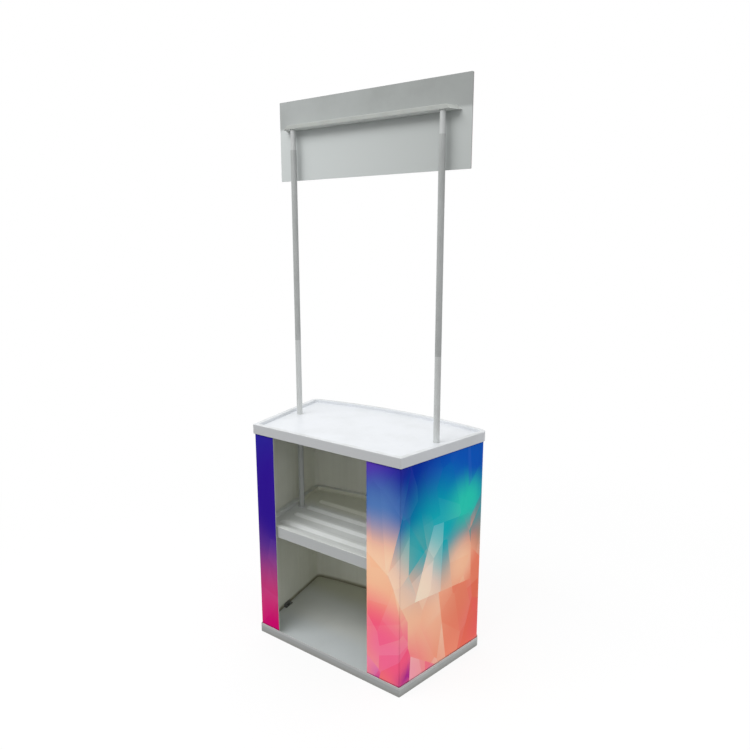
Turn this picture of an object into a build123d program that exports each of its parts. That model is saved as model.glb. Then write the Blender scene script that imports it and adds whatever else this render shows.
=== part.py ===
from build123d import *
from math import cos, radians, sin, sqrt, tan
import os

os.makedirs("parts", exist_ok=True)

# Sizes are in millimetres. The service side is at -Y, the customer side at +Y, and +Z is up.
# The origin is on the floor, under the middle of the tabletop.

# Plan shape of the counter, taken along the tabletop's edge
near_width = 660
side_depth = 436
bow = 50
splay_angle = 10.7
corner_radius = 28
near_corner_radius = 3
counter_height = 850

# Tabletop
skirt_height = 36
skirt_wall = 3
rim_width = 18
rim_height = 11
rim_round = 2
skirt_round = 1.2
top_skin = 4
top_groove_depth = 26
top_groove_rib = 2.5
top_rib_depth = 15
top_rib_wall = 2.5
top_rib_count = 5
top_cross_rib_count = 3

# Wrap panel and its printed skin
panel_setback = 5
panel_thickness = 3
film_thickness = 0.3
groove_play = 0.5
fold_radius = 4
left_flange = 92
right_flange = 135
print_margin = 1
crease_from_near = 271
crease_width = 2
crease_depth = 1

# Base tray
base_height = 35
base_setback = 1.5
base_lip = 2.5
base_round = 0.8
base_groove_floor = 6
base_floor_height = 20
base_skin = 3.5
base_rib_wall = 3
base_rib_count = 5
base_cross_rib_count = 3

# Clips that hold the panel's foot against the lip of the base
clip_from_near = 175
clip_length = 44
clip_height = 13
clip_foot = 14
clip_thickness = 2.5
clip_bead = 1.8
clip_gap = 0.3
clip_screw_pitch = 26
clip_screw_diameter = 3
clip_screw_length = 7
clip_screw_head = 6.5
clip_screw_head_height = 1.8
screw_play = 0.05

# Shelf
shelf_height = 463
shelf_lip = 42
shelf_setback = 14
shelf_play = 0.5
shelf_skin = 3.5
shelf_rim = 22
shelf_sink = 15
shelf_round = 2
shelf_corner = 4
ridge_count = 4
ridge_from_near = 97
ridge_pitch = 77
ridge_width = 44
ridge_height = 8
ridge_length = 584
ridge_slope = 60
ridge_round = 6

# Shelf brackets, stuck inside the wrap panel with foam tape
bracket_from_near = 70
bracket_from_middle = 110
bracket_length = 40
bracket_drop = 32
bracket_reach = 18
bracket_thickness = 2.5
bracket_web = 3
tape_thickness = 1
tape_play = 0.05

# Poles
pole_distance = 630
pole_from_near = 239
pole_diameter = 22
pole_wall = 1.5
pole_seam_height = 1137
pole_top_height = 1840
pole_play = 0.1
fit_play = 0.05

# Foot plugs, joiners and spigots of the poles
plug_flange = 3
plug_stem = 20
joiner_length = 120
joiner_wall = 2
joiner_chamfer = 0.8
spigot_depth = 60
spigot_reach = 71

# Cups in the shelf and bushes in the tabletop that take the poles
socket_depth = 20
socket_wall = 3.5
socket_bottom = 3
socket_flange = 3
socket_flange_height = 1.5
seat_play = 0.1
bush_wall = 2.7
bush_flange = 2.5
bush_flange_height = 2
boss_wall = 3.5
boss_depth = 18

# Header
header_width = 806
header_height = 282
header_rise = 105
board_thickness = 5
board_from_near = 265
board_corner = 3
rail_length = 736
rail_reach = 40
rail_front = 14
rail_back = 15
rail_end_slope = 20
rail_round = 1.5
rail_socket_depth = 9
header_screw_count = 6
header_screw_margin = 80
header_screw_rise = 7
header_screw_diameter = 3.5
header_screw_head = 7
header_screw_length = 18

# One overrun serves all cuts
overrun = 2

# Plan shape worked out from its sizes
splay_sin = sin(radians(splay_angle))
splay_cos = cos(radians(splay_angle))
splay_tan = tan(radians(splay_angle))
near_y = -(side_depth + bow) / 2
half_near = near_width / 2
half_far = half_near + side_depth * splay_tan
bow_radius = (half_far**2 + bow**2) / (2 * bow)
bow_centre_y = near_y + side_depth + bow - bow_radius

# Levels and setbacks worked out from the sizes
skirt_bottom = counter_height - skirt_height
deck_height = counter_height - rim_height
deck_under = deck_height - top_skin
rim_under = counter_height - top_skin
panel_inner = panel_setback + panel_thickness
film_setback = panel_setback - film_thickness
groove_inner = panel_inner + groove_play
inner_fold = max(fold_radius - panel_thickness, 0)
groove_fold = max(inner_fold - groove_play, 0)
panel_height = rim_under - base_groove_floor
shelf_outline = panel_inner + shelf_play
shelf_shift = shelf_setback - shelf_outline
shelf_bottom = shelf_height - shelf_lip
shelf_floor = shelf_height - shelf_sink
shelf_under = shelf_floor - shelf_skin
clip_back = panel_inner + clip_gap

# Poles and what they pass through, worked out from the sizes
pole_x = pole_distance / 2
pole_y = near_y + pole_from_near
pole_radius = pole_diameter / 2
pole_bore = pole_radius - pole_wall
insert_radius = pole_bore - fit_play
guide_radius = pole_radius + pole_play
pole_bottom = shelf_floor - socket_depth
tube_bottom = pole_bottom + plug_flange
rail_height = pole_top_height + spigot_reach
spigot_length = spigot_depth + spigot_reach + rail_socket_depth
header_middle = rail_height + header_rise - header_height / 2
board_y = near_y + board_from_near
sides = {"left": -1, "right": 1}


def side_point(inset, from_near):
    # Point on the right side line moved in by inset, at a distance from the near edge
    return half_near - inset / splay_cos + from_near * splay_tan, near_y + from_near


def far_corner(inset):
    # Where the right side line meets the bowed customer side, both moved in by inset
    start_x, start_y = side_point(inset, 0)
    along = start_x * splay_sin + (start_y - bow_centre_y) * splay_cos
    rest = start_x**2 + (start_y - bow_centre_y) ** 2 - (bow_radius - inset) ** 2
    length = sqrt(along**2 - rest) - along
    return start_x + length * splay_sin, start_y + length * splay_cos


def plan(height, inset, near_shift=0, near_radius=0):
    # Face of the counter's plan shape moved in by inset, and its near edge by near_shift more
    near_x, edge_y = side_point(inset, inset + near_shift)
    far_x, far_y = far_corner(inset)
    with BuildSketch(Plane.XY.offset(height)) as outline:
        with BuildLine():
            Polyline((-far_x, far_y), (-near_x, edge_y), (near_x, edge_y), (far_x, far_y))
            ThreePointArc((far_x, far_y), (0, bow_centre_y + bow_radius - inset), (-far_x, far_y))
        make_face()
        fillet(outline.vertices().group_by(Axis.Y)[-1], radius=max(corner_radius - inset, corner_radius / 4))
        if near_radius > 0:
            fillet(outline.vertices().group_by(Axis.Y)[0], radius=near_radius)
    return outline.sketch


def band(height, outer, inner, near_shift=0, outer_radius=0, inner_radius=0):
    # Closed band between two of the plan shapes
    with BuildSketch(Plane.XY.offset(height)) as ring:
        add(plan(0, outer, near_shift, outer_radius))
        add(plan(0, inner, near_shift, inner_radius), mode=Mode.SUBTRACT)
    return ring.sketch


def discs(height, radius):
    # Two circles on the axes of the poles
    with BuildSketch(Plane.XY.offset(height)) as pair:
        with Locations((-pole_x, pole_y), (pole_x, pole_y)):
            Circle(radius)
    return pair.sketch


def rib_grid(bottom, depth, inset, wall, count, cross_count):
    # Upright ribs both ways, kept inside the plan shape moved in by inset
    width = 2 * half_far
    length = side_depth + bow
    with BuildPart() as ribs:
        with BuildSketch(Plane.XY.offset(bottom)):
            with GridLocations(width / (count + 1), 0, count, 1):
                Rectangle(wall, length)
            with GridLocations(0, length / (cross_count + 1), 1, cross_count):
                Rectangle(width, wall)
        extrude(amount=depth)
        extrude(plan(bottom, inset), amount=depth, mode=Mode.INTERSECT)
    return ribs.part


def side_plane(side, from_near, inset, height):
    # Upright plane across a side wall: x points into the counter, y up. Side is 1 for right, -1 for left
    x, y = side_point(inset, from_near)
    inward = Vector(-side * splay_cos, splay_sin, 0)
    return Plane(origin=(side * x, y, height), x_dir=inward, z_dir=inward.cross(Vector(0, 0, 1)))


def bow_plane(x, inset, height):
    # The same across the bowed customer side, at a distance from the middle
    y = bow_centre_y + sqrt((bow_radius - inset) ** 2 - x**2)
    inward = Vector(-x, bow_centre_y - y, 0).normalized()
    return Plane(origin=(x, y, height), x_dir=inward, z_dir=inward.cross(Vector(0, 0, 1)))


def level(upright):
    # Level plane at the origin of an upright one, with the same x
    return Plane(origin=upright.origin, x_dir=upright.x_dir, z_dir=(0, 0, 1))


def save(piece, name):
    piece.part.label = name
    export_step(piece.part, f"parts/{name}.step")


# Places of the two clips, on the base's floor against the foot of the side walls
clip_planes = {}
for name, side in sides.items():
    clip_planes[name] = side_plane(side, clip_from_near, clip_back, base_floor_height)
clip_screw_offset = (clip_thickness + clip_foot) / 2


def clip_screw_spots(upright, radius, height):
    # Circles on the axes of a clip's screws, at a height over the base's floor
    with BuildSketch(level(upright).offset(height)) as spots:
        with Locations((clip_screw_offset, 0)):
            with GridLocations(0, clip_screw_pitch, 1, 2):
                Circle(radius)
    return spots.sketch


# Base tray: outer lip, groove for the panel's foot, and a raised floor on ribs
with BuildPart() as base_tray:
    extrude(plan(0, base_setback, near_radius=near_corner_radius), amount=base_height)
    extrude(plan(base_groove_floor, base_setback + base_lip), amount=base_height, mode=Mode.SUBTRACT)
    fillet(base_tray.edges().filter_by(lambda e: e.center().Z == base_height), radius=base_round)
    extrude(plan(0, groove_inner, near_radius=groove_fold), amount=base_floor_height)
    rib_depth = base_floor_height - base_skin
    rib_inset = groove_inner + base_skin
    extrude(plan(0, rib_inset), amount=rib_depth, mode=Mode.SUBTRACT)
    add(rib_grid(0, rib_depth, rib_inset, base_rib_wall, base_rib_count, base_cross_rib_count))
    for upright in clip_planes.values():
        extrude(clip_screw_spots(upright, clip_screw_diameter / 2 + screw_play, overrun),
                amount=-clip_screw_length - overrun, mode=Mode.SUBTRACT)
save(base_tray, "base_tray")

# Clips: an upright blade with a rounded bead on a screwed foot
for name, upright in clip_planes.items():
    with BuildPart() as panel_clip:
        with BuildSketch(upright):
            Rectangle(clip_foot, clip_thickness, align=(Align.MIN, Align.MIN))
            Rectangle(clip_thickness, clip_height, align=(Align.MIN, Align.MIN))
            with Locations((clip_bead, clip_height)):
                Circle(clip_bead)
        extrude(amount=clip_length / 2, both=True)
        extrude(clip_screw_spots(upright, clip_screw_diameter / 2 + screw_play, 0),
                amount=clip_thickness, mode=Mode.SUBTRACT)
    save(panel_clip, f"{name}_panel_clip")

with BuildPart() as clip_screws:
    for upright in clip_planes.values():
        extrude(clip_screw_spots(upright, clip_screw_diameter / 2, clip_thickness), amount=-clip_screw_length)
        extrude(clip_screw_spots(upright, clip_screw_head / 2, clip_thickness), amount=clip_screw_head_height)
save(clip_screws, "clip_screws")

# Wrap panel: one bent sheet, open at the service side between its two flanges
corner_x, corner_y = side_point(panel_setback, panel_setback)
left_edge_x = left_flange - corner_x
right_edge_x = corner_x - right_flange


def service_opening(left_x, right_x):
    # Rectangle that clears the near wall between the flanges
    with BuildSketch(Plane.XY.offset(base_groove_floor)) as gap:
        with Locations((left_x, near_y)):
            Rectangle(right_x - left_x, panel_inner + fold_radius, align=(Align.MIN, Align.MIN))
    return gap.sketch


with BuildPart() as body_panel:
    extrude(band(base_groove_floor, panel_setback, panel_inner, 0, fold_radius, inner_fold),
            amount=panel_height)
    extrude(service_opening(left_edge_x, right_edge_x), amount=panel_height, mode=Mode.SUBTRACT)
    # Score on the inside of each side, where the sheet folds for carrying
    for side in sides.values():
        with BuildSketch(level(side_plane(side, crease_from_near, panel_inner, base_groove_floor))):
            Rectangle(2 * crease_depth, crease_width)
        extrude(amount=panel_height, mode=Mode.SUBTRACT)
save(body_panel, "body_panel")

film_radius = fold_radius + film_thickness
with BuildPart() as body_graphic:
    extrude(band(base_groove_floor, film_setback, panel_setback, 0, film_radius, fold_radius),
            amount=panel_height)
    extrude(service_opening(left_edge_x - print_margin, right_edge_x + print_margin),
            amount=panel_height, mode=Mode.SUBTRACT)
save(body_graphic, "body_graphic")

# Tabletop: raised rim, sunk deck, skirt, a groove for the panel's top edge, and ribs and bosses below
bush_radius = guide_radius + bush_wall
with BuildPart() as tabletop:
    extrude(plan(skirt_bottom, 0, near_radius=near_corner_radius), amount=skirt_height)
    extrude(plan(deck_height, rim_width), amount=rim_height, mode=Mode.SUBTRACT)
    fillet(tabletop.edges().filter_by(lambda e: e.center().Z == counter_height), radius=rim_round)
    fillet(tabletop.edges().filter_by(lambda e: e.center().Z == skirt_bottom), radius=skirt_round)
    extrude(plan(skirt_bottom, skirt_wall), amount=deck_under - skirt_bottom, mode=Mode.SUBTRACT)
    extrude(band(deck_under, skirt_wall, rim_width - top_skin),
            amount=rim_under - deck_under, mode=Mode.SUBTRACT)
    extrude(band(rim_under, groove_inner, groove_inner + top_groove_rib, 0, groove_fold),
            amount=-top_groove_depth)
    add(rib_grid(deck_under - top_rib_depth, top_rib_depth, groove_inner, top_rib_wall,
                 top_rib_count, top_cross_rib_count))
    extrude(discs(deck_under, bush_radius + seat_play + boss_wall), amount=-boss_depth)
    extrude(discs(deck_height, bush_radius + seat_play), amount=-boss_depth - top_skin, mode=Mode.SUBTRACT)
save(tabletop, "tabletop")

# Shelf: raised rim, turned-down lip, sunk floor with ridges across, and holes for the cups
socket_radius = guide_radius + socket_wall
with BuildPart() as shelf:
    extrude(plan(shelf_bottom, shelf_outline, shelf_shift, shelf_corner), amount=shelf_lip)
    extrude(plan(shelf_floor, shelf_outline + shelf_rim, shelf_shift, shelf_corner),
            amount=shelf_sink, mode=Mode.SUBTRACT)
    fillet(shelf.edges().filter_by(lambda e: e.center().Z == shelf_height), radius=shelf_round)
    extrude(plan(shelf_bottom, shelf_outline + shelf_skin, shelf_shift),
            amount=shelf_under - shelf_bottom, mode=Mode.SUBTRACT)
    rim_hollow = shelf_outline + shelf_rim - shelf_skin
    extrude(band(shelf_under, shelf_outline + shelf_skin, rim_hollow, shelf_shift),
            amount=shelf_sink, mode=Mode.SUBTRACT)
    first_ridge = near_y + ridge_from_near
    with BuildSketch(Plane.XY.offset(shelf_floor)) as ridge_feet:
        with Locations(*[(0, first_ridge + ridge_pitch * place) for place in range(ridge_count)]):
            SlotOverall(ridge_length, ridge_width)
    extrude(amount=ridge_height, taper=ridge_slope)
    fillet(shelf.edges().filter_by(lambda e: e.center().Z == shelf_floor + ridge_height), radius=ridge_round)
    extrude(discs(shelf_floor, socket_radius + seat_play), amount=-shelf_skin, mode=Mode.SUBTRACT)
save(shelf, "shelf")

# Brackets below the shelf and the foam tapes that hold them on the panel
tape_inset = panel_inner + tape_play
wall_radius = bow_radius - tape_inset
bow_gap = wall_radius - sqrt(wall_radius**2 - bracket_length**2 / 4)
bracket_planes = {
    "near_left": side_plane(-1, bracket_from_near, tape_inset, shelf_bottom),
    "near_right": side_plane(1, bracket_from_near, tape_inset, shelf_bottom),
    "far_left": bow_plane(-bracket_from_middle, tape_inset + bow_gap, shelf_bottom),
    "far_right": bow_plane(bracket_from_middle, tape_inset + bow_gap, shelf_bottom),
}
for name, upright in bracket_planes.items():
    with BuildPart() as shelf_bracket:
        with BuildSketch(upright):
            with Locations((tape_thickness, 0)):
                Rectangle(bracket_thickness, bracket_drop, align=(Align.MIN, Align.MAX))
                Rectangle(bracket_reach, bracket_thickness, align=(Align.MIN, Align.MAX))
        extrude(amount=bracket_length / 2, both=True)
        with BuildSketch(upright):
            with Locations((tape_thickness + bracket_thickness, -bracket_thickness)):
                Polygon((0, 0), (0, bracket_thickness - bracket_drop), (bracket_reach - bracket_thickness, 0),
                        align=None)
        extrude(amount=bracket_web / 2, both=True)
    save(shelf_bracket, f"shelf_bracket_{name}")

with BuildPart() as bracket_tapes:
    for upright in bracket_planes.values():
        with BuildSketch(upright):
            Rectangle(tape_thickness, bracket_drop, align=(Align.MIN, Align.MAX))
        extrude(amount=bracket_length / 2, both=True)
save(bracket_tapes, "bracket_tapes")

# Everything that stands on the axis of a pole, for the left and the right one
for name, side in sides.items():
    axis_x = side * pole_x

    def disc(height, outer, inner=0):
        # Circle or ring on the pole's axis
        with BuildSketch(Plane.XY.offset(height)) as ring:
            with Locations((axis_x, pole_y)):
                Circle(outer)
                if inner > 0:
                    Circle(inner, mode=Mode.SUBTRACT)
        return ring.sketch

    # Bush pressed into the tabletop from below, flush with the deck
    with BuildPart() as top_bush:
        extrude(disc(deck_height, bush_radius, guide_radius), amount=-top_skin - boss_depth)
        extrude(disc(deck_under - boss_depth, bush_radius + bush_flange, guide_radius),
                amount=-bush_flange_height)
    save(top_bush, f"{name}_top_bush")

    # Cup in the shelf
    with BuildPart() as shelf_socket:
        extrude(disc(pole_bottom - socket_bottom, socket_radius), amount=socket_bottom + socket_depth)
        extrude(disc(shelf_floor, socket_radius + socket_flange), amount=socket_flange_height)
        extrude(disc(pole_bottom, guide_radius),
                amount=socket_depth + socket_flange_height, mode=Mode.SUBTRACT)
    save(shelf_socket, f"{name}_shelf_socket")

    # Foot plug of the lower section
    with BuildPart() as pole_foot:
        extrude(disc(pole_bottom, pole_radius), amount=plug_flange)
        extrude(disc(tube_bottom, insert_radius), amount=plug_stem)
    save(pole_foot, f"{name}_pole_foot")

    # The two sections of the tube
    with BuildPart() as lower_pole:
        extrude(disc(tube_bottom, pole_radius, pole_bore), amount=pole_seam_height - tube_bottom)
    save(lower_pole, f"{name}_lower_pole")
    with BuildPart() as upper_pole:
        extrude(disc(pole_seam_height, pole_radius, pole_bore), amount=pole_top_height - pole_seam_height)
    save(upper_pole, f"{name}_upper_pole")

    # Sleeve inside the seam of the two sections
    with BuildPart() as pole_joiner:
        extrude(disc(pole_seam_height - joiner_length / 2, insert_radius, insert_radius - joiner_wall),
                amount=joiner_length)
        joiner_rims = pole_joiner.edges().filter_by(GeomType.CIRCLE).sort_by(SortBy.RADIUS)[-2:]
        chamfer(joiner_rims, length=joiner_chamfer)
    save(pole_joiner, f"{name}_pole_joiner")

    # Thinner stub in the top of the pole, which carries the header
    with BuildPart() as pole_spigot:
        extrude(disc(pole_top_height - spigot_depth, insert_radius, insert_radius - joiner_wall),
                amount=spigot_length)
    save(pole_spigot, f"{name}_pole_spigot")

# Header board and its printed skin on the customer side
board_back = Plane(origin=(0, board_y, header_middle), x_dir=(1, 0, 0), z_dir=(0, -1, 0))
screw_height = rail_height + header_screw_rise
screw_span = rail_length - 2 * header_screw_margin
screw_pitch = screw_span / (header_screw_count - 1)


def header_screw_spots(from_back, radius):
    # Circles on the axes of the header's screws, at a distance behind the board's back face
    with BuildSketch(board_back.offset(from_back)) as spots:
        with Locations((0, screw_height - header_middle)):
            with GridLocations(screw_pitch, 0, header_screw_count, 1):
                Circle(radius)
    return spots.sketch


with BuildPart() as header_board:
    with BuildSketch(board_back):
        RectangleRounded(header_width, header_height, board_corner)
    extrude(amount=-board_thickness)
    extrude(header_screw_spots(0, header_screw_diameter / 2 + screw_play), amount=-board_thickness,
            mode=Mode.SUBTRACT)
    sink_depth = (header_screw_head - header_screw_diameter) / 2
    extrude(header_screw_spots(-board_thickness, header_screw_head / 2 + screw_play), amount=sink_depth,
            taper=45, mode=Mode.SUBTRACT)
save(header_board, "header_board")

with BuildPart() as header_graphic:
    with BuildSketch(board_back.offset(-board_thickness)):
        RectangleRounded(header_width, header_height, board_corner)
    extrude(amount=-film_thickness)
save(header_graphic, "header_graphic")

# Rail on the back of the board: flat below, sloped above and at its ends, with blind holes for the spigots
with BuildPart() as header_rail:
    with BuildSketch(Plane.YZ.offset(-rail_length / 2)):
        with Locations((board_y, rail_height)):
            Polygon((0, 0), (-rail_reach, 0), (-rail_reach, rail_front), (0, rail_back), align=None)
    extrude(amount=rail_length)
    for side in sides.values():
        end = side * rail_length / 2
        slope = side * rail_end_slope
        foot = Vector(end, board_y, rail_height)
        out = Vector(end - slope, board_y - rail_reach, rail_height)
        up = Vector(end - slope, board_y, rail_height + rail_back)
        outward = (out - foot).cross(up - foot) * -side
        split(bisect_by=Plane(origin=foot, z_dir=outward), keep=Keep.BOTTOM)
    fillet(header_rail.edges().filter_by(Axis.X).group_by(Axis.Y)[0], radius=rail_round)
    extrude(discs(rail_height, pole_bore), amount=rail_socket_depth, mode=Mode.SUBTRACT)
    extrude(header_screw_spots(0, header_screw_diameter / 2 + screw_play),
            amount=header_screw_length - board_thickness, mode=Mode.SUBTRACT)
save(header_rail, "header_rail")

# Countersunk screws through the board into the rail, under the printed skin
with BuildPart() as header_screws:
    extrude(header_screw_spots(-board_thickness, header_screw_diameter / 2), amount=header_screw_length)
    extrude(header_screw_spots(-board_thickness, header_screw_head / 2), amount=sink_depth, taper=45)
save(header_screws, "header_screws")
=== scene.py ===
import math

import bpy
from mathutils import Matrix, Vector


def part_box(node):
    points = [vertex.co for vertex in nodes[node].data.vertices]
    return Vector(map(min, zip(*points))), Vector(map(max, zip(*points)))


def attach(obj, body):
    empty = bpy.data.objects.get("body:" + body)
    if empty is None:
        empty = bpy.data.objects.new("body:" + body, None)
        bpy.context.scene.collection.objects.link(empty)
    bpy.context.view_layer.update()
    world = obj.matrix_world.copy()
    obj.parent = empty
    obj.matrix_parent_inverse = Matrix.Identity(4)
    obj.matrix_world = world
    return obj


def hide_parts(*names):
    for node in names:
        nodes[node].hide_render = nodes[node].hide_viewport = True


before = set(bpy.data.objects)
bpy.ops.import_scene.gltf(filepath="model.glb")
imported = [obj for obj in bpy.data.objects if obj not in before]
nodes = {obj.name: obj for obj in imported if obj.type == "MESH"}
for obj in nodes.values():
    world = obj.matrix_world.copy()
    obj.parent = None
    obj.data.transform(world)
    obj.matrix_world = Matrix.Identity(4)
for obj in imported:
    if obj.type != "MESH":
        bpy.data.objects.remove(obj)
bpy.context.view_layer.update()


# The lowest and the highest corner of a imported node, so that places come from the frame
def lowOf(name):
    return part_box(name)[0]


def highOf(name):
    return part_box(name)[1]


# Shader maths: a wired value takes part in Python sums, and each sum adds its Math node
class Wired:
    def __init__(self, paint, socket):
        self.paint = paint
        self.socket = socket

    def sum(self, operation, *values):
        return self.paint.node("ShaderNodeMath", {"operation": operation}, dict(enumerate(values)))

    def __add__(self, other):
        return self.sum("ADD", self, other)

    def __sub__(self, other):
        return self.sum("SUBTRACT", self, other)

    def __rsub__(self, other):
        return self.sum("SUBTRACT", other, self)

    def __mul__(self, other):
        return self.sum("MULTIPLY", self, other)

    def __abs__(self):
        return self.sum("ABSOLUTE", self)

    __radd__ = __add__


# The node tree of a material or of the world: node() makes any node, and the rest stands for the usual ones
class Paint:
    def __init__(self, owner):
        owner.use_nodes = True
        self.owner = owner
        self.tree = owner.node_tree
        self.tree.nodes.clear()

    def node(self, kind, settings, values, output=0):
        made = self.tree.nodes.new(kind)
        for key, value in settings.items():
            setattr(made, key, value)
        for key, value in values.items():
            self.feed(made.inputs[key], value)
        return Wired(self, made.outputs[output])

    def feed(self, socket, value):
        if isinstance(value, Wired):
            self.tree.links.new(value.socket, socket)
        elif socket.type == "RGBA":
            socket.default_value = (*value, 1)
        else:
            socket.default_value = value

    def place(self):  # metres in the shared frame, because every piece lies at the origin
        return self.node("ShaderNodeTexCoord", {}, {}, "Object")

    def split(self, vector):
        apart = self.node("ShaderNodeSeparateXYZ", {}, {0: vector})
        return [Wired(self, socket) for socket in apart.socket.node.outputs]

    def join(self, x, y):
        return self.node("ShaderNodeCombineXYZ", {}, {0: x, 1: y})

    def vector(self, operation, *values):
        output = "Value" if operation in ("DISTANCE", "DOT_PRODUCT", "LENGTH") else "Vector"
        return self.node("ShaderNodeVectorMath", {"operation": operation}, dict(enumerate(values)), output)

    def stretch(self, vector, scale, turn=(0, 0, 0), shift=(0, 0, 0)):
        return self.node("ShaderNodeMapping", {}, {"Vector": vector, "Scale": scale, "Rotation": turn,
                                                   "Location": shift})

    def noise(self, vector, scale, detail=3, rough=0.5):
        return self.node("ShaderNodeTexNoise", {}, {"Vector": vector, "Scale": scale, "Detail": detail,
                                                    "Roughness": rough})

    def fade(self, value, low, high, start=0, end=1):
        return self.node("ShaderNodeMapRange", {"interpolation_type": "SMOOTHSTEP"},
                         {"Value": value, "From Min": low, "From Max": high, "To Min": start, "To Max": end})

    def mix(self, factor, first, second, blend="MIX"):
        return self.node("ShaderNodeMix", {"data_type": "RGBA", "blend_type": blend},
                         {0: factor, 6: first, 7: second}, 2)

    def bump(self, height):  # heights are in millimetres
        return self.node("ShaderNodeBump", {}, {"Height": height, "Strength": 1, "Distance": 0.001})

    def principled(self, **values):
        named = {key.replace("_", " "): value for key, value in values.items()}
        return self.node("ShaderNodeBsdfPrincipled", {}, named)

    def show(self, kind, shaded):
        self.feed(self.tree.nodes.new(kind).inputs["Surface"], shaded)
        return self.owner

    def finish(self, **values):
        return self.show("ShaderNodeOutputMaterial", self.principled(**values))


# A shade as a screen gives it, each part from 0 to 255, made linear for the shader
def linear(shade):
    return tuple((c / 12.92 if c <= 0.04045 else ((c + 0.055) / 1.055) ** 2.4)
                 for c in (part / 255 for part in shade))


def dress(material, *names):
    for name in names:
        nodes[name].data.materials.clear()
        nodes[name].data.materials.append(material)


# The counter's plan: a straight service side, two splayed sides and the bowed customer side
plan = {"nearHalf": 0.33, "sideDepth": 0.436, "bow": 0.05, "splay": math.radians(10.7)}
splay = plan["splay"]
nearY = lowOf("tabletop").y
farHalf = plan["nearHalf"] + plan["sideDepth"] * math.tan(splay)
bowRadius = (farHalf**2 + plan["bow"] ** 2) / (2 * plan["bow"])
bowCentre = nearY + plan["sideDepth"] + plan["bow"] - bowRadius

# The base's floor begins this far within the plan's outline
floorEdge = {"from": 0.0088, "band": 0.0008}


# How far a place lies within the base's floor: 1 on the floor, 0 on the lip and the outer face
def onFloor(paint, place, x, y):
    start, full = floorEdge["from"], floorEdge["from"] + floorEdge["band"]
    fromNear = y - nearY
    fromSide = (plan["nearHalf"] - abs(x)) * math.cos(splay) + fromNear * math.sin(splay)
    fromFar = bowRadius - paint.vector("DISTANCE", paint.stretch(place, (1, 1, 0)), (0, bowCentre, 0))
    return (paint.fade(fromSide, start, full) * paint.fade(fromFar, start, full)
            * paint.fade(fromNear, start, full))


# Formed and moulded plastic: fine grain, faint clouding and a little wear. Its pieces share these values
plasticLook = {"gloss": 0.35, "swellScale": 18, "cloudBand": (0.38, 0.72), "cloudRough": 0.16,
               "scuffStretch": (60, 9, 30), "scuffTurn": (0.2, 0.1, 0.7), "scuffBand": (0.63, 0.72),
               "scuffRough": 0.1, "edgeDepths": (0.0016, 0.0004), "edgeGaps": (0.35, 0.6), "edgeLeast": 0.35}


def formedPlastic(name, look):
    paint = Paint(bpy.data.materials.new(name))
    place = paint.place()
    x, y, z = paint.split(place)
    cloud = paint.noise(place, look["cloudScale"], 4, 0.6)
    grain = paint.noise(place, look["grainScale"], 2)
    swell = paint.noise(place, look["swellScale"], 2)
    scuff = paint.noise(paint.stretch(place, look["scuffStretch"], look["scuffTurn"]), 1, 5, 0.7)
    worn = linear(look["worn"])
    clouded = paint.fade(cloud, *look["cloudBand"], 0, look["clouding"])
    tone = paint.mix(clouded, linear(look["shade"]), worn)
    scratched = paint.fade(scuff, *look["scuffBand"])
    tone = paint.mix(scratched * look["scuffs"], tone, worn)
    inner = onFloor(paint, place, x, y) if "inside" in look else 0
    for start, full, shade in look.get("inside", []):  # painted light and shade on the floor: paler near the opening, darker far in
        tone = paint.mix(paint.fade(y, start, full) * inner, tone, linear(shade))
    if "paintedFaceTone" in look:  # painted light and shade: another shade close to one face, or beyond it
        start, full = (look["face"] + depth for depth in look["faceDepths"])
        tone = paint.mix(paint.fade({"y": y, "z": z}[look["faceAxis"]], start, full), tone,
                         linear(look["paintedFaceTone"]))
    if "paintedLowShade" in look:  # painted shade: the outer face is darker below its top strip, which stays pale as if catching the light
        low = paint.fade(z, *look["paintedLowBand"]) * (1 - inner)
        tone = paint.mix(low * look["paintedLowShade"], tone, worn, "MULTIPLY")
    if "paintedFalloffTone" in look:  # painted shade: slightly darker towards the right end, a painted fall-off of the light
        tone = paint.mix(paint.fade(x, *look["endBand"]), tone, linear(look["paintedFalloffTone"]), "MULTIPLY")
    if "edge" in look:  # rubbed here and there along the top edge
        start, full = (look["edge"] - depth for depth in look["edgeDepths"])
        rubbed = paint.fade(z, start, full) * paint.fade(swell, *look["edgeGaps"], look["edgeLeast"], 1)
        tone = paint.mix(rubbed * look["rubbing"], tone, worn)
    if "dirtHeight" in look:  # dirt from the ground up
        ragged = z + (cloud - 0.5) * look["dirtHeight"]
        dirt = paint.fade(ragged, look["dirtHeight"], 0) * look["dirt"]
        tone = paint.mix(dirt, tone, linear(look["dirtShade"]))
    rough = look["rough"] + (cloud - 0.5) * look["cloudRough"] + scratched * look["scuffRough"]
    return paint.finish(Base_Color=tone, Specular_IOR_Level=look["gloss"], Roughness=rough,
                        Normal=paint.bump(grain * look["grain"] + swell * look["swell"]))


# Painted shade: the near faces of the tabletop, the base and the shelf are darker than their decks, standing
# in for the weaker light on them
topLook = {**plasticLook, "shade": (219, 222, 226), "worn": (203, 206, 207), "rough": 0.36, "cloudScale": 6,
           "clouding": 0.35, "grainScale": 1100, "grain": 0.03, "swell": 0.12, "scuffs": 0.35,
           "edge": highOf("tabletop").z, "rubbing": 1,
           "faceAxis": "y", "face": lowOf("tabletop").y, "faceDepths": (0.0018, 0.0002),
           "paintedFaceTone": (203, 205, 207)}
dress(formedPlastic("tabletop plastic", topLook), "tabletop")

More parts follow.
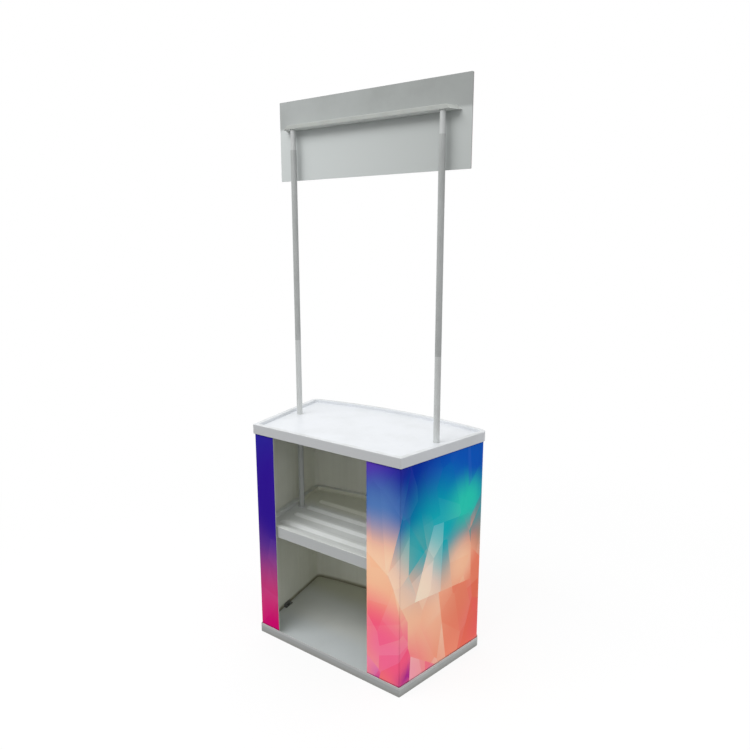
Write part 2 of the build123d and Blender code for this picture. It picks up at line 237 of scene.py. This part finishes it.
baseLook = {**plasticLook, "shade": (214, 217, 216), "worn": (198, 201, 199), "rough": 0.45, "cloudScale": 5,
            "clouding": 0.8, "grainScale": 900, "grain": 0.05, "swell": 0.12, "scuffs": 0.6,
            "edge": highOf("base_tray").z, "rubbing": 0.3,
            "dirtHeight": 0.022, "dirt": 0.6, "dirtShade": (150, 148, 142),
            "faceAxis": "y", "face": lowOf("base_tray").y, "faceDepths": (0.0018, 0.0002),
            "paintedFaceTone": (198, 200, 200), "paintedLowShade": 0.42, "paintedLowBand": (0.0262, 0.0246),
            "inside": [(0.20, 0.05, (219, 222, 219)),  # painted light and shade: paler near the opening where light falls in, darker and yellower far in
                       (-0.05, -0.15, (214, 220, 222)),
                       (0.04, 0.17, (208, 209, 192))]}
dress(formedPlastic("base plastic", baseLook), "base_tray")

# The shelf's deck is painted yellower far in: a painted shade tint
shelfLook = {**plasticLook, "shade": (232, 235, 234), "worn": (220, 223, 220), "rough": 0.4, "cloudScale": 7,
             "clouding": 0.7, "grainScale": 900, "grain": 0.04, "swell": 0.15, "scuffs": 0.5,
             "edge": highOf("shelf").z, "rubbing": 0.8,
             "faceAxis": "y", "face": lowOf("shelf").y, "faceDepths": (0.0025, 0.0005),
             "paintedFaceTone": (193, 196, 196), "inside": [(-0.03, 0.10, (232, 233, 216))]}
dress(formedPlastic("shelf plastic", shelfLook), "shelf")

mouldedLook = {**plasticLook, "shade": (222, 224, 226), "worn": (204, 206, 206), "rough": 0.38,
               "cloudScale": 20, "clouding": 0.5, "grainScale": 1600, "grain": 0.03, "swell": 0.02,
               "scuffs": 0.2}
dress(formedPlastic("moulded plastic", mouldedLook), "left_top_bush", "right_top_bush", "left_shelf_socket",
      "right_shelf_socket", "shelf_bracket_near_left", "shelf_bracket_near_right", "shelf_bracket_far_left",
      "shelf_bracket_far_right")

# Painted light: the header's board is paler below its rail, which shortens the rail's shadow on it, and the
# rail is paler underneath, standing in for light thrown up onto it
boardLook = {**plasticLook, "shade": (167, 171, 170), "worn": (155, 159, 157), "rough": 0.5, "cloudScale": 5,
             "clouding": 0.7, "grainScale": 1300, "grain": 0.03, "swell": 0.2, "scuffs": 0.4,
             "edge": highOf("header_board").z, "rubbing": 0.8,
             "faceAxis": "z", "face": lowOf("header_rail").z, "faceDepths": (0.015, 0.001),
             "paintedFaceTone": (203, 208, 207), "endBand": (-0.42, 0.44), "paintedFalloffTone": (233, 233, 232)}
dress(formedPlastic("header board", boardLook), "header_board")

railLook = {**mouldedLook, "shade": (174, 178, 174), "worn": (160, 163, 159), "rough": 0.5,
            "edge": highOf("header_rail").z, "rubbing": 0.5,
            "faceAxis": "z", "face": lowOf("header_rail").z, "faceDepths": (0.0014, 0.0002),
            "paintedFaceTone": (240, 243, 239)}
dress(formedPlastic("header rail", railLook), "header_rail")

# The wrap sheet's bare back, warm white with long faint marks from rolling
sheetLook = {"shade": (244, 245, 234), "dull": (233, 234, 222), "rough": 0.5, "cloudScale": 4,
             "rollStretch": (40, 40, 1.5), "rollShare": 0.4, "rollRough": 0.2, "rolling": 0.06,
             "dullBand": (0.35, 0.65), "grainScale": 1200, "grain": 0.03,
             "cutShade": (96, 88, 112), "cutFront": (-0.236, -0.239), "cutLeft": (-0.26, -0.24),
             "cutRight": (0.215, 0.195),
             "footShadowTone": (150, 146, 124), "footBand": (0.044, 0.027), "footWave": 0.006}


def sheetBack(name, look):
    paint = Paint(bpy.data.materials.new(name))
    place = paint.place()
    x, y, z = paint.split(place)
    cloud = paint.noise(place, look["cloudScale"], 4, 0.6)
    rolled = paint.noise(paint.stretch(place, look["rollStretch"]), 1, 4, 0.6)
    grain = paint.noise(place, look["grainScale"], 2)
    marks = cloud * (1 - look["rollShare"]) + rolled * look["rollShare"]
    tone = paint.mix(paint.fade(marks, *look["dullBand"]), linear(look["shade"]), linear(look["dull"]))
    # The sheet's two free edges at the opening are darker in front, and its foot is darker: a painted shadow
    # where the sheet meets the tray
    cutEdge = (paint.fade(y, *look["cutFront"]) * paint.fade(x, *look["cutLeft"])
               * paint.fade(x, *look["cutRight"]))
    tone = paint.mix(cutEdge, tone, linear(look["cutShade"]))
    paintedFootShadow = paint.fade(z + cloud * look["footWave"], *look["footBand"])
    tone = paint.mix(paintedFootShadow, tone, linear(look["footShadowTone"]))
    return paint.finish(Base_Color=tone, Roughness=look["rough"] + (rolled - 0.5) * look["rollRough"],
                        Normal=paint.bump(grain * look["grain"] + rolled * look["rolling"]))


dress(sheetBack("sheet back", sheetLook), "body_panel")

# Extruded tube: fine lines along its length, rubbed a little where hands and holes touch it
tubeLook = {"shade": (198, 201, 200), "rubbed": (186, 188, 187), "rubbedBand": (0.4, 0.75), "rough": 0.38,
            "cloudStretch": (30, 30, 8), "cloudRough": 0.2, "lineStretch": (900, 900, 3), "lines": 0.05,
            "grainScale": 1500, "grain": 0.02}
# The upper tubes are a darker copy of the lower ones: painted shade, as the poles fall darker higher up
shadedUpperTubeLook = {**tubeLook, "shade": (174, 177, 176), "rubbed": (160, 163, 162)}
spigotLook = {**tubeLook, "shade": (196, 199, 198), "rubbed": (182, 184, 183), "rough": 0.42}
plugLook = {**tubeLook, "shade": (128, 130, 133), "rubbed": (112, 114, 117), "rough": 0.45}


def tubePlastic(name, look):
    paint = Paint(bpy.data.materials.new(name))
    place = paint.place()
    lines = paint.noise(paint.stretch(place, look["lineStretch"]), 1, 3)
    cloud = paint.noise(paint.stretch(place, look["cloudStretch"]), 1, 4, 0.65)
    grain = paint.noise(place, look["grainScale"], 2)
    tone = paint.mix(paint.fade(cloud, *look["rubbedBand"]), linear(look["shade"]), linear(look["rubbed"]))
    return paint.finish(Base_Color=tone, Roughness=look["rough"] + (cloud - 0.5) * look["cloudRough"],
                        Normal=paint.bump(lines * look["lines"] + grain * look["grain"]))


dress(tubePlastic("lower tube", tubeLook), "left_lower_pole", "right_lower_pole")
dress(tubePlastic("upper tube", shadedUpperTubeLook), "left_upper_pole", "right_upper_pole")
dress(tubePlastic("spigot tube", spigotLook), "left_pole_spigot", "right_pole_spigot")
dress(tubePlastic("plug plastic", plugLook), "left_pole_foot", "right_pole_foot", "left_pole_joiner",
      "right_pole_joiner")

# Grey moulded clips with a spark-eroded grain
clipLook = {"shade": (108, 109, 105), "worn": (130, 130, 125), "wornBand": (0.5, 0.75), "rough": 0.5,
            "cloudScale": 60, "cloudRough": 0.2, "grainScale": 1400, "grain": 0.08}


def clipPlastic(name, look):
    paint = Paint(bpy.data.materials.new(name))
    place = paint.place()
    grain = paint.noise(place, look["grainScale"], 3, 0.7)
    cloud = paint.noise(place, look["cloudScale"], 4, 0.6)
    tone = paint.mix(paint.fade(cloud, *look["wornBand"]), linear(look["shade"]), linear(look["worn"]))
    return paint.finish(Base_Color=tone, Roughness=look["rough"] + (cloud - 0.5) * look["cloudRough"],
                        Normal=paint.bump(grain * look["grain"]))


dress(clipPlastic("dark clip plastic", clipLook), "left_panel_clip", "right_panel_clip")

# Foam tape with small open cells
tapeLook = {"shade": (214, 213, 207), "cellShade": (190, 189, 182), "cellBand": (0.2, 0.6), "rough": 0.85,
            "cellRough": 0.1, "cellScale": 900, "cells": 0.15}


def foamTape(name, look):
    paint = Paint(bpy.data.materials.new(name))
    cells = paint.node("ShaderNodeTexVoronoi", {}, {"Vector": paint.place(), "Scale": look["cellScale"]},
                       "Distance")
    tone = paint.mix(paint.fade(cells, *look["cellBand"]), linear(look["shade"]), linear(look["cellShade"]))
    return paint.finish(Base_Color=tone, Roughness=look["rough"] + (cells - 0.5) * look["cellRough"],
                        Normal=paint.bump(cells * look["cells"]))


dress(foamTape("foam tape", tapeLook), "bracket_tapes")

# Zinc-plated steel of the screws
screwLook = {"shade": (196, 198, 202), "dull": (170, 172, 176), "dullBand": (0.4, 0.7), "rough": 0.3,
             "patchScale": 220, "patchRough": 0.25, "brushStretch": (2500, 2500, 200), "brushRough": 0.1,
             "brush": 0.04}


def zincSteel(name, look):
    paint = Paint(bpy.data.materials.new(name))
    place = paint.place()
    brushed = paint.noise(paint.stretch(place, look["brushStretch"]), 1, 3)
    patches = paint.noise(place, look["patchScale"], 4, 0.65)
    tone = paint.mix(paint.fade(patches, *look["dullBand"]), linear(look["shade"]), linear(look["dull"]))
    rough = look["rough"] + (patches - 0.5) * look["patchRough"] + (brushed - 0.5) * look["brushRough"]
    return paint.finish(Base_Color=tone, Metallic=1.0, Roughness=rough,
                        Normal=paint.bump(brushed * look["brush"]))


dress(zincSteel("zinc plated steel", screwLook), "clip_screws", "header_screws")
print("finishes done")

# Generic print: soft fields of colour broken by leaning facets. Flat places are in metres on the sheet
printLook = {
    "ground": (255, 150, 122), "high": (0, 74, 170), "highBand": (0.42, 0.62), "fieldCore": 0.1,
    "facetScale": 5.2, "facetTall": 0.5, "facetTurn": 0.45, "facetShift": (6.3, 0.4, 0),
    "fineScale": 2.1, "fineTurn": -0.7, "fineShift": (8.1, 5.3, 0), "cut": 0.004,
    "aside": 0.14, "fineAside": 0.07,  # how far a facet reads the colour fields from its own place
    "calmBand": (0.70, 0.35), "calmest": 0.4, "endBand": (-0.86, -0.80), "endCalmest": 0.25,
    "leanLight": 0.7, "halfLight": 1.2, "slopeLight": 1.1, "fineLight": 0.8, "fineLean": 0.5, "fineHalf": 1.1,
    "lighten": 0.9, "lightenTo": 0.8, "pale": 0.22, "paleTo": 0.7, "paleShade": (255, 222, 204),
    "darken": 0.42, "darkenTo": -0.8,
    "rough": 0.42, "hazeScale": 5, "hazeRough": 0.14, "gloss": 0.05, "glow": 0.2,
    "grainScale": 1200, "grain": 0.015, "waveScale": 2.5, "wave": 0.9}


def facetPrint(name, layout, fields, look):
    paint = Paint(bpy.data.materials.new(name))
    flat = layout(paint)
    across, up, _ = paint.split(flat)

    # Cells of one size: how far a place lies up its cell's lean, and that lean as three chance values
    def facets(scale, turn, shift):
        leaned = paint.stretch(flat, (scale, scale * look["facetTall"], 1), (0, 0, turn), shift)
        flatCells = {"voronoi_dimensions": "2D"}
        middle = paint.node("ShaderNodeTexVoronoi", flatCells, {"Vector": leaned, "Scale": 1}, "Position")
        chance = paint.node("ShaderNodeTexVoronoi", flatCells, {"Vector": leaned, "Scale": 1}, "Color")
        lean = paint.vector("SUBTRACT", chance, (0.5, 0.5, 0.5))
        slope = paint.vector("DOT_PRODUCT", paint.vector("SUBTRACT", leaned, middle), lean)
        return slope, paint.split(lean)

    slope, (red, green, blue) = facets(look["facetScale"], look["facetTurn"], look["facetShift"])
    fineSlope, (fineRed, _, fineBlue) = facets(look["facetScale"] * look["fineScale"], look["fineTurn"],
                                               look["fineShift"])
    # Each facet is cut in two across its lean, and reads the colour fields a little way off
    half = paint.fade(slope, -look["cut"], look["cut"]) - 0.5
    fineHalf = paint.fade(fineSlope, -look["cut"], look["cut"]) - 0.5
    # Facets are fainter high up and at the left end
    strength = (paint.fade(up, *look["calmBand"], look["calmest"], 1)
                * paint.fade(across, *look["endBand"], look["endCalmest"], 1))
    asideAcross = red * look["aside"] + half * blue * look["aside"] + fineRed * look["fineAside"]
    asideUp = green * look["aside"] + half * red * look["aside"] + fineBlue * look["fineAside"]
    spot = paint.join(across + asideAcross * strength, up + asideUp * strength)
    _, spotUp, _ = paint.split(spot)
    tone = paint.mix(paint.fade(spotUp, *look["highBand"]), linear(look["ground"]), linear(look["high"]))
    for fieldAcross, fieldUp, reach, shade in fields:
        gap = paint.vector("DISTANCE", spot, (fieldAcross, fieldUp, 0))
        tone = paint.mix(paint.fade(gap, reach * look["fieldCore"], reach, 1, 0), tone, linear(shade))
    light = green * look["leanLight"] + half * red * look["halfLight"] + slope * look["slopeLight"]
    fineLight = fineRed * look["fineLean"] + fineHalf * fineBlue * look["fineHalf"]
    light = (light + fineLight * look["fineLight"]) * strength
    paled = paint.fade(light, 0, look["paleTo"], 0, look["pale"]) * strength
    tone = paint.mix(paint.fade(light, 0, look["lightenTo"], 0, look["lighten"]), tone, tone, "SCREEN")
    tone = paint.mix(paled, tone, linear(look["paleShade"]))
    tone = paint.mix(paint.fade(light, 0, look["darkenTo"], 0, look["darken"]), tone, tone, "MULTIPLY")
    if "foot" in look:  # painted shade along the base's lip, under the tabletop's skirt and in the near folds
        paintedTuckShade = (paint.fade(up, look["foot"] + look["tuckShadeReach"], look["foot"])
                  + paint.fade(up, look["skirt"] - look["tuckShadeReach"], look["skirt"])
                  + paint.fade(abs(abs(across) - look["fold"]), look["foldReach"], 0) * look["foldShadeShare"])
        tone = paint.mix(paintedTuckShade * look["tuckShadeAmount"], tone, linear(look["tuckShadeTone"]), "MULTIPLY")
    grain = paint.noise(flat, look["grainScale"], 2)
    haze = paint.noise(flat, look["hazeScale"], 3)
    wave = paint.noise(flat, look["waveScale"], 1)
    # The print glows faintly in its own colour: painted light, as the print is no lamp
    return paint.finish(Base_Color=tone, Roughness=look["rough"] + (haze - 0.5) * look["hazeRough"],
                        Specular_IOR_Level=look["gloss"], Emission_Color=tone, Emission_Strength=look["glow"],
                        Normal=paint.bump(grain * look["grain"] + wave * look["wave"]))


# The wrap's soft fields: place along the sheet from the middle of the bow, height, reach and shade
wrapFields = [
    (-0.62, 0.30, 0.36, (236, 70, 150)), (-0.50, 0.10, 0.24, (255, 150, 110)),
    (-0.66, 0.74, 0.34, (16, 84, 196)), (-0.46, 0.56, 0.24, (24, 168, 178)),
    (-0.96, 0.58, 0.80, (44, 14, 142)), (-0.92, 0.04, 0.36, (208, 0, 110)),
    (-0.24, 0.74, 0.34, (84, 44, 178)), (-0.22, 0.34, 0.30, (255, 160, 124)),
    (-0.16, 0.08, 0.26, (232, 40, 140)), (0.06, 0.56, 0.32, (10, 132, 206)),
    (0.08, 0.20, 0.28, (255, 178, 124)), (0.24, 0.80, 0.28, (8, 66, 178)),
    (0.30, 0.46, 0.22, (40, 182, 172)), (0.28, 0.12, 0.22, (250, 112, 130)),
    (0.46, 0.22, 0.30, (240, 132, 104)), (0.70, 0.28, 0.34, (255, 190, 156)),
    (0.80, 0.10, 0.20, (255, 130, 140)), (0.76, 0.82, 0.48, (0, 38, 152)),
    (0.54, 0.78, 0.30, (0, 84, 186)), (0.66, 0.54, 0.28, (0, 172, 184)),
    (0.77, 0.52, 0.12, (70, 170, 176)), (0.50, 0.60, 0.15, (40, 200, 180)),
    (0.52, 0.37, 0.14, (255, 208, 176)), (1.03, 0.84, 0.25, (96, 56, 180)),
    (0.94, 0.62, 0.16, (84, 124, 186)), (0.94, 0.38, 0.27, (255, 210, 176)),
    (0.93, 0.10, 0.22, (255, 110, 152)), (0.87, 0.00, 0.10, (186, 40, 156)),
]
wrapLook = {**printLook, "bowHalf": 0.408, "sideRun": 0.438,  # the film's run round half the bow and a side
            "mergeReach": 0.00001, "flangeZone": 0.001, "foldZone": 0.05,
            "letOut": 0.001,  # the free edges, away from the folds, reach this much further
            "foot": 0.0345, "skirt": 0.8145, "fold": 0.846, "tuckShadeReach": 0.007, "foldReach": 0.005,
            "foldShadeShare": 0.35, "tuckShadeAmount": 0.75, "tuckShadeTone": (120, 104, 134)}
filmNearY = lowOf("body_graphic").y
filmInset = filmNearY - nearY
filmFoldX = plan["nearHalf"] - filmInset / math.cos(splay) + filmInset * math.tan(splay)


# A place's way along the unrolled film: round the bow, then along the side, then along the near flange
def alongFilm(x, y):
    outX, outY = abs(x) - filmFoldX, y - filmNearY
    offSide = abs(outX * math.cos(splay) - outY * math.sin(splay))
    offBow = abs(math.hypot(x, y - bowCentre) - bowRadius + filmInset)
    if outY < offSide:
        run = wrapLook["bowHalf"] + wrapLook["sideRun"] - outX
    elif offBow < offSide:
        run = math.atan2(abs(x), y - bowCentre) * bowRadius
    else:
        run = wrapLook["bowHalf"] + wrapLook["sideRun"] - outX * math.sin(splay) - outY * math.cos(splay)
    return math.copysign(run, x)


def filmLayout(paint):
    return paint.node("ShaderNodeUVMap", {"uv_map": "flat"}, {})


# The wrap's printed skin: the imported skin's shape, joined up, with its flat layout as a UV map
bpy.ops.object.select_all(action="DESELECT")
skin = bpy.data.objects.new("bodyPrint", nodes["body_graphic"].data.copy())
bpy.context.scene.collection.objects.link(skin)
bpy.context.view_layer.objects.active = skin
skin.select_set(True)
bpy.ops.object.mode_set(mode="EDIT")
bpy.ops.mesh.select_all(action="SELECT")
bpy.ops.mesh.remove_doubles(threshold=wrapLook["mergeReach"])
bpy.ops.object.mode_set(mode="OBJECT")
for corner in skin.data.vertices:
    onFlange = corner.co.y < filmNearY + wrapLook["flangeZone"]
    if onFlange and abs(abs(corner.co.x) - plan["nearHalf"]) > wrapLook["foldZone"]:
        corner.co.x -= math.copysign(wrapLook["letOut"], corner.co.x)
flatMap = skin.data.uv_layers.new(name="flat")
for loop in skin.data.loops:
    corner = skin.data.vertices[loop.vertex_index].co
    flatMap.data[loop.index].uv = (alongFilm(corner.x, corner.y), corner.z)
skin.data.materials.clear()
skin.data.materials.append(facetPrint("wrap print", filmLayout, wrapFields, wrapLook))
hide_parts("body_graphic")
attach(skin, "wrap")

# The header's printed front: fields by their place across from the middle and their height above its foot
headerFields = [
    (-0.40, 0.20, 0.24, (58, 44, 168)), (-0.22, 0.04, 0.22, (24, 96, 190)),
    (-0.04, 0.24, 0.24, (30, 158, 182)), (0.10, 0.02, 0.20, (110, 190, 164)),
    (0.22, 0.24, 0.20, (250, 176, 132)), (0.34, 0.04, 0.20, (240, 110, 112)),
    (0.42, 0.26, 0.14, (226, 56, 138)),
]
headerLook = {**printLook, "high": (30, 90, 180), "ground": (40, 110, 180), "facetScale": 7, "wave": 0.4}


def headerLayout(paint):
    x, _, z = paint.split(paint.place())
    return paint.join(x, z - lowOf("header_graphic").z)


dress(facetPrint("header print", headerLayout, headerFields, headerLook), "header_graphic")
print("prints done")

# Stage: a pale floor that shows white to the camera and keeps a soft shadow, under a white sky
stageLook = {"size": 40, "drop": 0.0005, "floorShade": 0.12, "seenShade": 0.95, "rough": 0.9,
             "white": 0.86, "whiteFrom": 0.9, "whiteTo": 2.6, "sky": 0.80}


# 1 for rays that show the stage itself, straight or in gloss and glass, and 0 for its light on the counter
def shownItself(paint):
    return (paint.node("ShaderNodeLightPath", {}, {}, "Is Camera Ray")
            + paint.node("ShaderNodeLightPath", {}, {}, "Is Glossy Ray")
            + paint.node("ShaderNodeLightPath", {}, {}, "Is Transmission Ray"))


def paleFloor(name, look):
    paint = Paint(bpy.data.materials.new(name))
    shown = shownItself(paint)
    away = paint.vector("LENGTH", paint.place())
    white = paint.fade(away, look["whiteFrom"], look["whiteTo"], look["white"], 1)
    tone = paint.mix(shown, (look["floorShade"],) * 3, (look["seenShade"],) * 3)
    lit = paint.principled(Base_Color=tone, Roughness=look["rough"])
    glow = paint.node("ShaderNodeEmission", {}, {"Color": (1, 1, 1), "Strength": 1})
    return paint.show("ShaderNodeOutputMaterial",
                      paint.node("ShaderNodeMixShader", {}, {0: shown * white, 1: lit, 2: glow}))


bpy.ops.object.select_all(action="DESELECT")
bpy.ops.mesh.primitive_plane_add(size=stageLook["size"], location=(0, 0, -stageLook["drop"]))
floor = bpy.context.object
floor.name = "floor"
floor.data.materials.append(paleFloor("pale floor", stageLook))

sky = Paint(bpy.data.worlds.new("white sky"))
skyStrength = sky.fade(shownItself(sky), 0, 1, stageLook["sky"], 1)
skyLight = sky.node("ShaderNodeBackground", {}, {"Color": (1, 1, 1), "Strength": skyStrength})
bpy.context.scene.world = sky.show("ShaderNodeOutputWorld", skyLight)


def addFacing(name, data, place, direction):
    made = bpy.data.objects.new(name, data)
    made.location = place
    made.rotation_mode = "QUATERNION"
    made.rotation_quaternion = direction.to_track_quat("-Z", "Y")
    bpy.context.scene.collection.objects.link(made)
    return made


# Broad soft lamps overhead, in front of the service side and at the right
def softLamp(name, look):
    data = bpy.data.lights.new(name, "AREA")
    data.shape = "RECTANGLE"
    data.size, data.size_y = look["size"]
    data.energy = look["power"]
    addFacing(name, data, look["place"], Vector(look["aim"]) - Vector(look["place"]))


softLamp("overhead lamp", {"size": (3.2, 2.4), "place": (0, 0.3, 4.2), "aim": (0, 0.2, 0.8), "power": 18})
softLamp("front lamp", {"size": (2.4, 1.2), "place": (-0.6, -1.9, 3.4), "aim": (0, -0.2, 0.4), "power": 44})
softLamp("side lamp", {"size": (1.6, 1.6), "place": (3.2, -0.3, 1.3), "aim": (0.4, 0, 0.6), "power": 10})

# Camera at the photo's angle: degrees round from the service side and above level, and its place
cameraLook = {"turn": 36.04, "height": 11.71, "place": (1.3986, -1.8502, 1.5157), "sensor": 36,
              "focalPixels": 649.3, "imagePixels": 750}
turn, tilt = math.radians(cameraLook["turn"]), math.radians(cameraLook["height"])
back = Vector((math.sin(turn) * math.cos(tilt), -math.cos(turn) * math.cos(tilt), math.sin(tilt)))
cameraData = bpy.data.cameras.new("camera")
cameraData.sensor_width = cameraLook["sensor"]
cameraData.lens = cameraLook["focalPixels"] / cameraLook["imagePixels"] * cameraLook["sensor"]
bpy.context.scene.camera = addFacing("camera", cameraData, cameraLook["place"], -back)
bpy.context.scene.view_settings.view_transform = "Standard"
print("stage, lamps and camera done")
